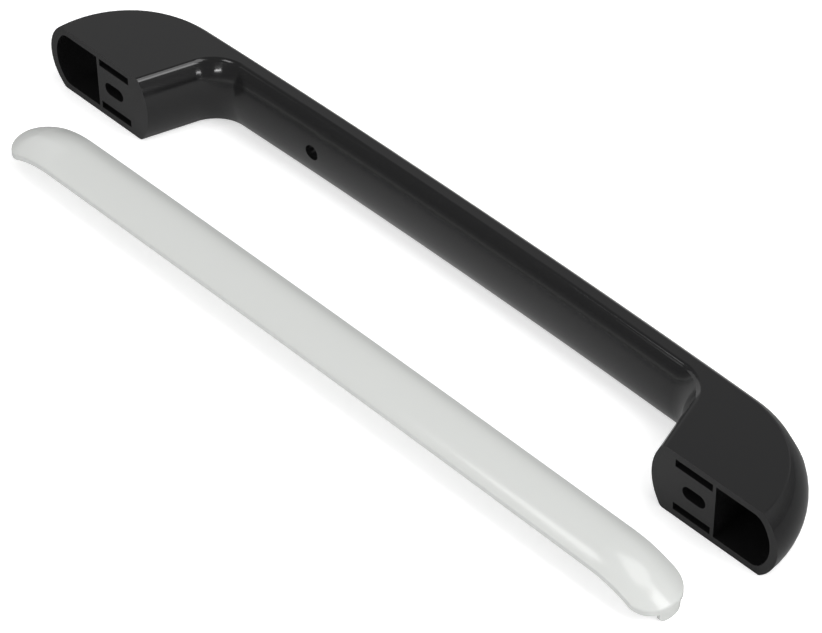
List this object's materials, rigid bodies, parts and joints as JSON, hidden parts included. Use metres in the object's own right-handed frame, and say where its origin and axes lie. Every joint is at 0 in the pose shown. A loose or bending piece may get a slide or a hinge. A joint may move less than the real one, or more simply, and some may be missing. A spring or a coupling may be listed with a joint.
{
  "type": "door pull handle",
  "caption": "Bow-shaped pull handle for an appliance door, with hollow screw-on feet and a cover strip that clips into its front, shown taken off.",
  "frame": {"origin": "on the mounting plane, midway between the two screw slots and midway across the handle's width", "axes": "+X along the handle, +Y away from the door, +Z across the handle; the handle and the strip lie on the plane z = -14 mm"},
  "size_m": [0.35, 0.0826, 0.028],
  "materials": {
    "black_moulding": "satin gloss",
    "pale_strip": "gloss"
  },
  "bodies": {
    "root": {"handle_body": "black_moulding", "cover_strip": "pale_strip"}
  },
  "joints": []
}
